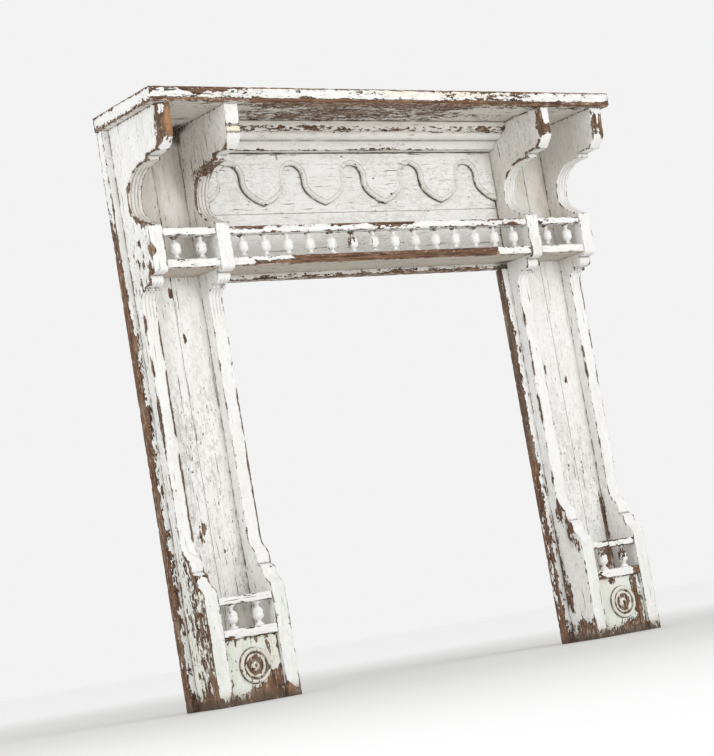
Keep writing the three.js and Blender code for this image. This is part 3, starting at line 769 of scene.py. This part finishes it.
def weather(points, normals, edge, grain):
    """Uneven boards and nibbled outer edges, always inwards."""
    stretch = stretched(grain, 2.2, 1)
    sink = UNEVEN + UNEVEN * noise_at(points, 60, stretch, 1)
    near = np.where(edge < BITE_REACH)[0]
    if len(near):
        bite = noise_at(points[near], 9, stretch, 2) + 0.6 * noise_at(points[near], 4, stretch, 3)
        chip = ramp(bite, 0.12, 0.55) * np.clip(1 - edge[near] / 5, 0, 1)
        sink[near] += BITE_DEPTH * chip + 0.25 * np.clip(1 - edge[near] / 3, 0, 1)
    return points - normals * sink[:, None]


def keep_joint(points, worn, axis, joint, where):
    """Keeps the joint between two boards tight and flush."""
    tight = (np.abs(points[:, axis] - joint) < JOINT_REACH) & where
    worn[tight] = points[tight]
    worn[tight & (np.abs(points[:, axis] - joint) < JOINT_FLUSH), axis] = joint


# Procedural paint over wood

# The first colour is the taupe of aged paint, also used as painted shade in recesses and undersides.
DULL_AND_SHADED_PAINT, THIN_PAINT, RUBBED_PAINT = (0.50, 0.415, 0.315), (0.56, 0.55, 0.51), (0.50, 0.465, 0.41)
CREAM_PAINT, MINT_PAINT = (0.84, 0.72, 0.52), (0.66, 0.76, 0.65)
UNDERCOAT, MINT_UNDERCOAT = (0.66, 0.59, 0.49), (0.60, 0.66, 0.54)
# The third colour darkens soiling and also paints shade in corners, creases and undersides.
HAIR_LINE, OPEN_CRACK, DIRT_AND_SHADE = (0.34, 0.27, 0.21), (0.055, 0.036, 0.027), (0.095, 0.072, 0.054)
DARK_WOOD, BROWN_WOOD = (0.060, 0.030, 0.018), (0.235, 0.125, 0.070)
DARK_ORANGE, LIGHT_ORANGE = (0.24, 0.10, 0.04), (0.52, 0.29, 0.14)
PALE_REMAINS, DINGY_REMAINS = (0.52, 0.43, 0.34), (0.74, 0.67, 0.57)
# These darkest woods paint the shadow that the paint's raised edge casts on the wood beside a chip.
EDGE_SHADOW_WOOD, EDGE_SHADOW_ORANGE = (0.030, 0.019, 0.014), (0.15, 0.06, 0.025)
PAINT_RELIEF = 0.0009

class Shader:
    """Small helpers that add nodes to one material."""

    def __init__(self, name):
        self.material = bpy.data.materials.new(name)
        self.material.use_nodes = True
        self.tree = self.material.node_tree
        self.bsdf = self.tree.nodes["Principled BSDF"]

    def set(self, socket, value):
        if isinstance(value, bpy.types.NodeSocket):
            self.tree.links.new(value, socket)
        elif isinstance(value, tuple) and len(value) == 3 and socket.type == "RGBA":
            socket.default_value = (*value, 1)
        else:
            socket.default_value = value

    def node(self, kind, inputs=(), **settings):
        made = self.tree.nodes.new(kind)
        for key, value in settings.items():
            setattr(made, key, value)
        for key, value in dict(inputs).items():
            self.set(made.inputs[key], value)
        return made

    def math(self, operation, a, b=0.0, clamp=False):
        made = self.node("ShaderNodeMath", {0: a, 1: b}, operation=operation, use_clamp=clamp)
        return made.outputs[0]

    def add(self, a, b):
        return self.math("ADD", a, b)

    def sub(self, a, b):
        return self.math("SUBTRACT", a, b)

    def mul(self, a, b, clamp=False):
        return self.math("MULTIPLY", a, b, clamp)

    def step(self, value, low, high):
        settings = {"interpolation_type": "SMOOTHSTEP"}
        inputs = {"Value": value, "From Min": low, "From Max": high}
        return self.node("ShaderNodeMapRange", inputs, **settings).outputs["Result"]

    def mix(self, share, a, b):
        made = self.node("ShaderNodeMix", data_type="RGBA")
        self.set(made.inputs[0], share)
        self.set(made.inputs[6], a)
        self.set(made.inputs[7], b)
        return made.outputs[2]

    def scaled(self, vector, scale):
        return self.node("ShaderNodeMapping", {"Vector": vector, "Scale": scale}).outputs[0]

    def noise(self, vector, scale, detail=2.0, rough=0.5, twist=0.0):
        inputs = {"Vector": vector, "Scale": scale, "Detail": detail}
        inputs.update({"Roughness": rough, "Distortion": twist})
        return self.node("ShaderNodeTexNoise", inputs).outputs

    def vector(self, operation, inputs):
        return self.node("ShaderNodeVectorMath", inputs, operation=operation).outputs

    def cells(self, vector, scale, feature, distance="EUCLIDEAN"):
        settings = {"feature": feature, "distance": distance}
        return self.node("ShaderNodeTexVoronoi", {"Vector": vector, "Scale": scale}, **settings).outputs


def crack_rows(s, place, flat, grain, crack, rows, runs, start, widest):
    """Tapered cracks along the grain in uneven rows: how near a crack is, and the crack itself."""
    across = s.vector("DOT_PRODUCT", {0: place, 1: stretched(grain, 0.0)})["Value"]
    bend = s.mul(s.noise(flat, 14.0, 5.0, 0.66)["Fac"], 0.022)
    at = s.mul(s.add(across, bend), rows)
    settings = {"voronoi_dimensions": "1D", "feature": "F1"}
    row = s.node("ShaderNodeTexVoronoi", {"W": at, "Scale": 1.0}, **settings).outputs
    lane = s.vector("SCALE", {0: row["Color"], 3: 40.0})[0]
    along = s.scaled(place, tuple(runs if axis == grain else 0.0 for axis in range(3)))
    spot = s.vector("ADD", {0: along, 1: lane})[0]
    open_here = s.add(s.noise(spot, 1.0, 2.0)["Fac"], s.mul(crack, 0.14))
    width = s.mul(s.step(open_here, start, start + 0.2), widest)
    close = s.sub(1.0, s.step(row["Distance"], 0.0, 0.2))
    near = s.mul(s.step(width, 0.0, 0.01), close)
    line = s.step(s.sub(width, row["Distance"]), 0.0, 0.014)
    return near, line


def old_paint(name, grain, white, stain, wood_light, quirk=0.0):
    s = Shader(name)
    place = s.node("ShaderNodeTexCoord").outputs["Object"]
    wear = s.node("ShaderNodeAttribute", attribute_name="wear")
    tint = s.node("ShaderNodeAttribute", attribute_name="tint")
    split = s.node("ShaderNodeSeparateColor", {0: wear.outputs["Color"]}).outputs
    bare, dingy, mint, rim = split[0], split[1], split[2], wear.outputs["Alpha"]
    split = s.node("ShaderNodeSeparateColor", {0: tint.outputs["Color"]}).outputs
    grime, warm, crack, cream = split[0], split[1], split[2], tint.outputs["Alpha"]

    # Wandering coordinates stretched along the grain
    wander = s.noise(place, 34.0, 3.0)["Color"]
    shift = s.vector("SCALE", {0: wander, 3: 0.012})[0]
    moved = s.vector("ADD", {0: place, 1: shift})[0]
    flat = s.scaled(place, stretched(grain, 0.32))
    fibre_at = s.scaled(place, stretched(grain, 0.045))

    # Where the paint has gone: blocky flakes, small flecks, and the undercoat left between them
    flake = s.noise(flat, 62.0, 6.0, 0.62, 0.2)["Fac"]
    patch = s.noise(flat, 11.0, 2.0)["Fac"]
    block = s.cells(s.scaled(moved, stretched(grain, 0.36)), 150.0, "F1", "CHEBYCHEV")["Color"]
    facet = s.node("ShaderNodeSeparateColor", {0: block}).outputs[0]
    row_near, row_line = crack_rows(s, place, flat, grain, crack, 50.0, 14.0, 0.61, 0.062)
    _, hair_line = crack_rows(s, place, flat, grain, crack, 150.0, 40.0, 0.55, 0.055)
    field = s.mul(flake, 0.52)
    field = s.add(field, s.mul(patch, 0.28))
    field = s.add(field, s.mul(facet, 0.16))
    shard = s.noise(s.scaled(moved, stretched(grain, 0.45)), 190.0, 3.0, 0.6, 0.4)["Fac"]
    field = s.add(field, s.mul(s.sub(shard, 0.5), 0.26))
    field = s.add(field, s.mul(row_near, 0.045))
    edge = s.mul(s.math("POWER", rim, 3.0), 0.15)
    gone = s.add(s.mul(bare, 0.42), edge)
    field = s.sub(s.add(field, gone), 0.70)
    fleck = s.noise(flat, 170.0, 3.0, 0.6)["Fac"]
    more = s.add(s.add(patch, bare), s.mul(crack, 0.35))
    more = s.add(more, s.mul(s.math("POWER", rim, 3.0), 0.35))
    fleck = s.sub(s.add(fleck, s.mul(more, 0.20)), 0.845)
    field = s.math("MAXIMUM", field, fleck)
    chipped = s.step(field, 0.0, 0.008)
    band = s.noise(flat, 90.0, 2.0)["Fac"]
    left_over = s.add(0.020, s.mul(mint, 0.05))
    band = s.mul(s.step(band, 0.42, 0.72), left_over)
    through = s.step(s.sub(field, band), 0.0, 0.008)

    # Paint colour
    cloud = s.noise(flat, 16.0, 5.0, 0.6)["Fac"]
    streak = s.noise(s.scaled(place, stretched(grain, 0.12)), 85.0, 4.0, 0.6)["Fac"]
    paint = s.mix(s.mul(s.step(cloud, 0.42, 0.78), 0.8), white, stain)
    # Aged paint turns taupe, and the same mix paints shade in recesses and undersides.
    dull_and_shade = s.mul(dingy, s.add(0.45, s.mul(streak, 0.95)), True)
    paint = s.mix(dull_and_shade, paint, DULL_AND_SHADED_PAINT)
    mottle = s.noise(s.scaled(place, stretched(grain, 0.5)), 120.0, 5.0, 0.72)["Fac"]
    mottle = s.add(mottle, s.mul(s.sub(patch, 0.5), 0.35))
    worn_thin = s.mul(s.step(mottle, 0.51, 0.56), s.mul(crack, 0.75))
    paint = s.mix(worn_thin, paint, THIN_PAINT)
    rubbed = s.add(s.noise(flat, 44.0, 6.0, 0.7)["Fac"], s.mul(dingy, 0.10))
    rubbed = s.mul(s.step(rubbed, 0.60, 0.625), s.mul(dingy, 0.9, True))
    paint = s.mix(rubbed, paint, RUBBED_PAINT)
    paint = s.mix(s.mul(cream, s.step(cloud, 0.3, 0.6)), paint, CREAM_PAINT)
    pale = s.mul(mint, s.step(streak, 0.44, 0.58), True)
    paint = s.mix(s.mul(pale, 0.7), paint, MINT_PAINT)
    paint = s.mix(s.mul(hair_line, 0.6), paint, HAIR_LINE)
    under_coat = s.mix(s.mul(mint, 0.9), UNDERCOAT, MINT_UNDERCOAT)

    # Wood colour, darkest beside the broken edge of the paint, where the shadow of the paint's raised
    # edge is painted
    fibre = s.noise(fibre_at, 260.0, 5.0, 0.65)["Fac"]
    tone = s.noise(flat, 24.0, 4.0, 0.6)["Fac"]
    wood = s.mix(s.step(fibre, 0.36, 0.66), DARK_WOOD, BROWN_WOOD)
    wood = s.mix(s.mul(s.step(tone, 0.50, 0.72), 0.7), wood, wood_light)
    wood = s.mix(warm, wood, s.mix(fibre, DARK_ORANGE, LIGHT_ORANGE))
    remains = s.noise(flat, 165.0, 4.0, 0.7)["Fac"]
    remains = s.add(remains, s.mul(dingy, 0.09))
    remains = s.sub(remains, s.mul(s.step(bare, 0.94, 1.0), 0.10))
    strength = s.sub(0.6, s.mul(warm, 0.4))
    remains = s.mul(s.step(remains, 0.57, 0.62), strength)
    wood = s.mix(remains, wood, s.mix(dingy, PALE_REMAINS, DINGY_REMAINS))
    # Painted shadow of the paint's raised edge on the wood beside it
    deep = s.step(field, 0.0, 0.10)
    wood = s.mix(deep, s.mix(warm, EDGE_SHADOW_WOOD, EDGE_SHADOW_ORANGE), wood)

    colour = s.mix(chipped, paint, under_coat)
    colour = s.mix(through, colour, wood)
    colour = s.mix(s.mul(row_line, 0.9), colour, OPEN_CRACK)
    # Soiling and painted shade in corners, creases, recesses and undersides darken the colour, broken
    # up by the flakes.
    dirt_and_shade = s.mul(grime, s.step(flake, 0.26, 0.52), True)
    # A thin line of painted shade runs along the quirk where the scalloped lip steps down.
    if quirk:
        away = s.math("ABSOLUTE", s.sub(rim, quirk))
        quirk_shade_line = s.mul(s.sub(1.0, s.step(away, 0.015, 0.07)), 0.42)
        dirt_and_shade = s.math("MAXIMUM", dirt_and_shade, quirk_shade_line)
    colour = s.mix(dirt_and_shade, colour, DIRT_AND_SHADE)

    # Height: the paint stands on the wood
    height = s.sub(1.0, s.mul(chipped, 0.5))
    height = s.sub(height, s.mul(through, 0.4))
    height = s.sub(height, s.mul(row_line, 0.7))
    height = s.sub(height, s.mul(hair_line, 0.5))
    fibres = s.mul(s.mul(fibre, through), 0.5)
    height = s.add(height, fibres)
    height = s.add(height, s.mul(cloud, 0.35))
    bump = s.node("ShaderNodeBump", {"Strength": 0.9, "Distance": PAINT_RELIEF, "Height": height})
    rough = s.add(0.46, s.mul(through, 0.34))
    rough = s.add(rough, s.mul(cloud, 0.18))
    s.set(s.bsdf.inputs["Base Color"], colour)
    s.set(s.bsdf.inputs["Roughness"], rough)
    s.set(s.bsdf.inputs["Normal"], bump.outputs[0])
    s.bsdf.inputs["Specular IOR Level"].default_value = 0.35
    return s.material


ALONG_X, UPRIGHT = 0, 2
PALE_WOOD, GREY_WOOD, FOOT_WOOD = (0.34, 0.24, 0.16), (0.34, 0.26, 0.18), (0.35, 0.24, 0.17)
BRIGHT, BRIGHT_STAIN = (0.85, 0.85, 0.835), (0.76, 0.74, 0.70)
DULL, DULL_STAIN = (0.86, 0.855, 0.835), (0.76, 0.74, 0.705)
WORN_PAINT, WORN_STAIN = (0.84, 0.84, 0.80), (0.70, 0.65, 0.56)
white_x = old_paint("chipped_white_along", ALONG_X, BRIGHT, BRIGHT_STAIN, PALE_WOOD)
white_z = old_paint("chipped_white_upright", UPRIGHT, BRIGHT, BRIGHT_STAIN, PALE_WOOD)
aged_x = old_paint("aged_boards_along", ALONG_X, DULL, DULL_STAIN, GREY_WOOD)
aged_z = old_paint("aged_boards_upright", UPRIGHT, DULL, DULL_STAIN, GREY_WOOD)
carved = old_paint("carved_board", ALONG_X, DULL, DULL_STAIN, GREY_WOOD, quirk=0.35)
worn_z = old_paint("worn_base_upright", UPRIGHT, WORN_PAINT, WORN_STAIN, FOOT_WOOD)


# Pieces

def add_piece(name, points, faces, edge, inner, material, slot, grain):
    shell = bmesh.new()
    verts = [shell.verts.new(p) for p in points]
    for face in faces:
        shell.faces.new([verts[v] for v in face])
    bmesh.ops.recalc_face_normals(shell, faces=shell.faces)
    mesh = bpy.data.meshes.new(name + "_aged")
    shell.to_mesh(mesh)
    shell.free()
    normals = np.zeros(len(mesh.vertices) * 3)
    mesh.vertex_normals.foreach_get("vector", normals)
    normals = normals.reshape(-1, 3)
    wear = wear_and_shade_of(name, points, normals, edge, inner)
    low, high = solid_points(name).min(0), solid_points(name).max(0)
    worn = weather(points, normals, edge, grain)
    if name.startswith("leg_board"):
        joint = min(low[0], high[0], key=lambda v: abs(abs(v) - LEG_JOINT))
        keep_joint(points, worn, 0, joint, points[:, 2] < POST_FOOT)
    if name.startswith("frieze_board"):
        keep_joint(points, worn, 2, low[2] if "upper" in name else high[2], points[:, 2] > 0)
    worn = np.clip(worn, low, high)
    mesh.vertices.foreach_set("co", (worn * MM).ravel())
    # Both attributes carry painted shade as well as wear: the taupe channel of the first and the dark
    # channel of the second.
    for label, keys in (("wear", CHANNELS[:4]), ("tint", CHANNELS[4:])):
        layer = mesh.attributes.new(label, "FLOAT_COLOR", "POINT")
        layer.data.foreach_set("color", np.stack([wear[key] for key in keys], 1).ravel())
    mesh.polygons.foreach_set("use_smooth", [True] * len(mesh.polygons))
    mesh.set_sharp_from_angle(angle=SHARP_TURN)
    mesh.materials.append(material)
    mesh.update()
    piece = bpy.data.objects.new(name + "_aged", mesh)
    scene.collection.objects.link(piece)
    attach(piece, "root")
    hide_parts(name)


WHITE, AGED, WORN = "chipped_white_paint", "aged_white_boards", "worn_base_paint"


def add_prism(name, material, slot, grain, **options):
    add_piece(name, *prism(name, **options), material, slot, grain)


def add_baluster(name):
    points = solid_points(name)
    low, high = points.min(0), points.max(0)
    centre = (low + high) / 2
    radius = np.hypot(points[:, 0] - centre[0], points[:, 1] - centre[1])
    levels = sorted(set(np.round(points[:, 2], 1)))
    steps = [(radius[np.abs(points[:, 2] - level) < 0.1].max(), level) for level in levels]
    made, faces = lathe(rounded_profile(steps, BALUSTER_STEPS), centre, BALUSTER_SIDES, 2)
    far = np.full(len(made), FAR_FROM_EDGE)
    add_piece(name, made, faces, far, far, white_z, WHITE, UPRIGHT)


def add_rosette(name):
    points = solid_points(name)
    low, high = points.min(0), points.max(0)
    centre = (low + high) / 2
    radius = np.hypot(points[:, 0] - centre[0], points[:, 2] - centre[2])
    rings = {}
    for r, y in zip(np.round(radius, 1), points[:, 1]):
        rings.setdefault(r, []).append(y)
    outer = max(rings)
    steps = [(outer, high[1])]
    steps += [(max(r, 0.05), min(ys)) for r, ys in sorted(rings.items(), reverse=True) if r < outer]
    made, faces = lathe(rounded_profile(steps, ROSETTE_STEPS), centre, ROSETTE_SIDES, 1)
    far = np.full(len(made), FAR_FROM_EDGE)
    add_piece(name, made, faces, far, far, worn_z, WORN, UPRIGHT)


def reeded(low, high, deep):
    """Four rounded reeds along the hollow of a bracket that runs from low to high in X."""
    def shape(loop, outward, level):
        share = (level - low) / (high - low)
        valley = 1 - abs(math.sin(REEDS * math.pi * share)) ** 0.8
        end = min(level - low, high - level)
        valley *= 0.35 if end < 4 else 1
        height, depth = loop[:, 1], BACK_Y - loop[:, 0]
        part = ramp(height, POST_TOP + 1, POST_TOP + 8) * ramp(-height, -HOLLOW_TOP, -HOLLOW_TOP + 6)
        part = part * (depth > 60) * (depth < 170)
        below = ramp(height, 935, 985) * ramp(-height, -POST_FOOT + 12, -POST_FOOT + 20)
        part = np.maximum(part, 0.6 * below * (depth > 40))
        return loop - outward * (deep * valley * part)[:, None]
    return shape


def scallop_edge(points, apart):
    """The front of the scalloped board steps down a little and rounds over to its wavy edge."""
    shaped = points.copy()
    rounded = (apart < straight_border(points) - SCALLOP_SLACK) & (apart < SCALLOP_ROUND)
    share = np.clip(1 - apart / SCALLOP_ROUND, 0, 1)
    thick = BOARD_FRONT - points[:, 1].min()
    curve = 1 - np.sqrt(np.clip(1 - share ** 2, 0, 1))
    fall = SCALLOP_QUIRK + (thick - SCALLOP_LIP - SCALLOP_QUIRK) * curve
    shaped[:, 1] += np.where(rounded, fall, 0)
    return shaped


def scallop_wall(points):
    """The wall under the wavy edge is only as thick as the rounded lip."""
    back = BOARD_FRONT
    front = back - SCALLOP_THICK
    shaped = points.copy()
    wavy = (np.abs(points[:, 0]) < SCALLOP_END - 0.6) & (points[:, 2] < SCALLOP_TOP - 1.0)
    share = (points[:, 1] - front) / (back - front)
    shaped[:, 1] = np.where(wavy, back - SCALLOP_LIP * (1 - share), points[:, 1])
    return shaped


add_prism("mantel_shelf", white_x, WHITE, ALONG_X, cell=5.5, ring=9.0)
for name in ("frieze_board_upper", "frieze_board_lower"):
    add_prism(name, aged_x, AGED, ALONG_X, cell=9.0)
add_prism("cornice_moulding", aged_x, AGED, ALONG_X, cell=2.5, ring=7.5)
scalloped = {"axis": 1, "cell": 2.6, "cap_shape": scallop_edge, "ring_shape": scallop_wall}
add_prism("scalloped_frieze", carved, AGED, ALONG_X, **scalloped)
for place in ("centre", "left", "right"):
    add_prism("gallery_shelf_" + place, white_x, WHITE, ALONG_X, cell=7.0)
    add_prism("gallery_rail_" + place, white_x, WHITE, ALONG_X, cell=5.0, ring=6.0)
for number in range(1, 19):
    add_baluster(f"gallery_baluster_{number:02d}")
for side in ("left", "right"):
    for row in ("outer", "inner"):
        name = f"bracket_{row}_{side}"
        ends = solid_points(name)[:, 0]
        reeds = reeded(ends.min(), ends.max(), REED_DEPTH[side])
        add_prism(name, white_z, WHITE, UPRIGHT, cell=6.0, ring=1.8, shape=reeds)
    add_prism("leg_board_outer_" + side, aged_z, AGED, UPRIGHT, cell=6.5)
    add_prism("leg_board_inner_" + side, aged_z, AGED, UPRIGHT, axis=1, cell=6.5)
    add_prism("base_ledge_" + side, white_x, WHITE, ALONG_X, cell=6.0)
    add_prism("base_rail_" + side, white_x, WHITE, ALONG_X, cell=5.0)
    add_prism("base_panel_" + side, worn_z, WORN, UPRIGHT, cell=5.0)
    add_rosette("base_rosette_" + side)
    for number in (1, 2):
        add_baluster(f"base_baluster_{side}_{number:02d}")


# Floor, light and camera

FLOOR_REACH = 40.0
FLOOR_NEAR, FLOOR_NEAR_PALE, FLOOR_FAR_PAINTED_LIGHT = (0.66, 0.66, 0.65), (0.70, 0.70, 0.69), (0.96, 0.96, 0.96)
SKY_COLOUR, SKY_STRENGTH = (1.0, 1.0, 1.0, 1), 0.89
LENS, SENSOR = 103.12, 36.0
CAMERA_PLACE = (-3.4768, -4.4331, 0.1173)
CAMERA_RIGHT = Vector((0.80237919, -0.5733033, -0.16586427))
CAMERA_DOWN = Vector((-0.06529133, 0.19192585, -0.97923517))
CAMERA_AHEAD = Vector((0.5932324, 0.79654742, 0.11656557))

floor_shader = Shader("studio_floor")
floor_place = floor_shader.node("ShaderNodeTexCoord").outputs["Object"]
floor_cloud = floor_shader.noise(floor_place, 1.3, 3.0)["Fac"]
floor_far = floor_shader.vector("LENGTH", {0: floor_place})["Value"]
floor_near = floor_shader.mix(floor_cloud, FLOOR_NEAR, FLOOR_NEAR_PALE)
# The floor brightens with distance from the object: painted light that makes up for the lamps' falloff,
# so the far floor fades into the sky.
floor_tone_and_painted_light = floor_shader.mix(floor_shader.step(floor_far, 0.6, 5.0), floor_near, FLOOR_FAR_PAINTED_LIGHT)
floor_shader.set(floor_shader.bsdf.inputs["Base Color"], floor_tone_and_painted_light)
floor_shader.bsdf.inputs["Roughness"].default_value = 0.7
floor_mesh = bpy.data.meshes.new("studio_floor")
corners = [(a * FLOOR_REACH, b * FLOOR_REACH, 0) for a, b in ((-1, -1), (1, -1), (1, 1), (-1, 1))]
floor_mesh.from_pydata(corners, [], [(0, 1, 2, 3)])
floor_mesh.materials.append(floor_shader.material)
floor = bpy.data.objects.new("studio_floor", floor_mesh)
scene.collection.objects.link(floor)

world = bpy.data.worlds.new("studio")
world.use_nodes = True
sky = world.node_tree.nodes["Background"]
sky.inputs["Color"].default_value = SKY_COLOUR
sky.inputs["Strength"].default_value = SKY_STRENGTH
scene.world = world


def area_light(name, place, target, size, power):
    light = bpy.data.lights.new(name, "AREA")
    light.size = size
    light.energy = power
    lamp = bpy.data.objects.new(name, light)
    lamp.location = place
    lamp.rotation_mode = "QUATERNION"
    lamp.rotation_quaternion = (Vector(target) - Vector(place)).to_track_quat("-Z", "Y")
    scene.collection.objects.link(lamp)


area_light("key", (1.3, -4.4, 1.5), (0.0, 0.0, 0.9), 2.4, 60.0)
area_light("fill", (-4.2, -1.6, 1.8), (0.0, 0.0, 0.8), 2.4, 40.0)

camera_data = bpy.data.cameras.new("camera")
camera_data.lens = LENS
camera_data.sensor_width = SENSOR
camera = bpy.data.objects.new("camera", camera_data)
turn = Matrix((CAMERA_RIGHT, -CAMERA_DOWN, -CAMERA_AHEAD)).transposed().to_4x4()
camera.matrix_world = Matrix.Translation(CAMERA_PLACE) @ turn
scene.collection.objects.link(camera)
scene.camera = camera
scene.view_settings.view_transform = "Standard"
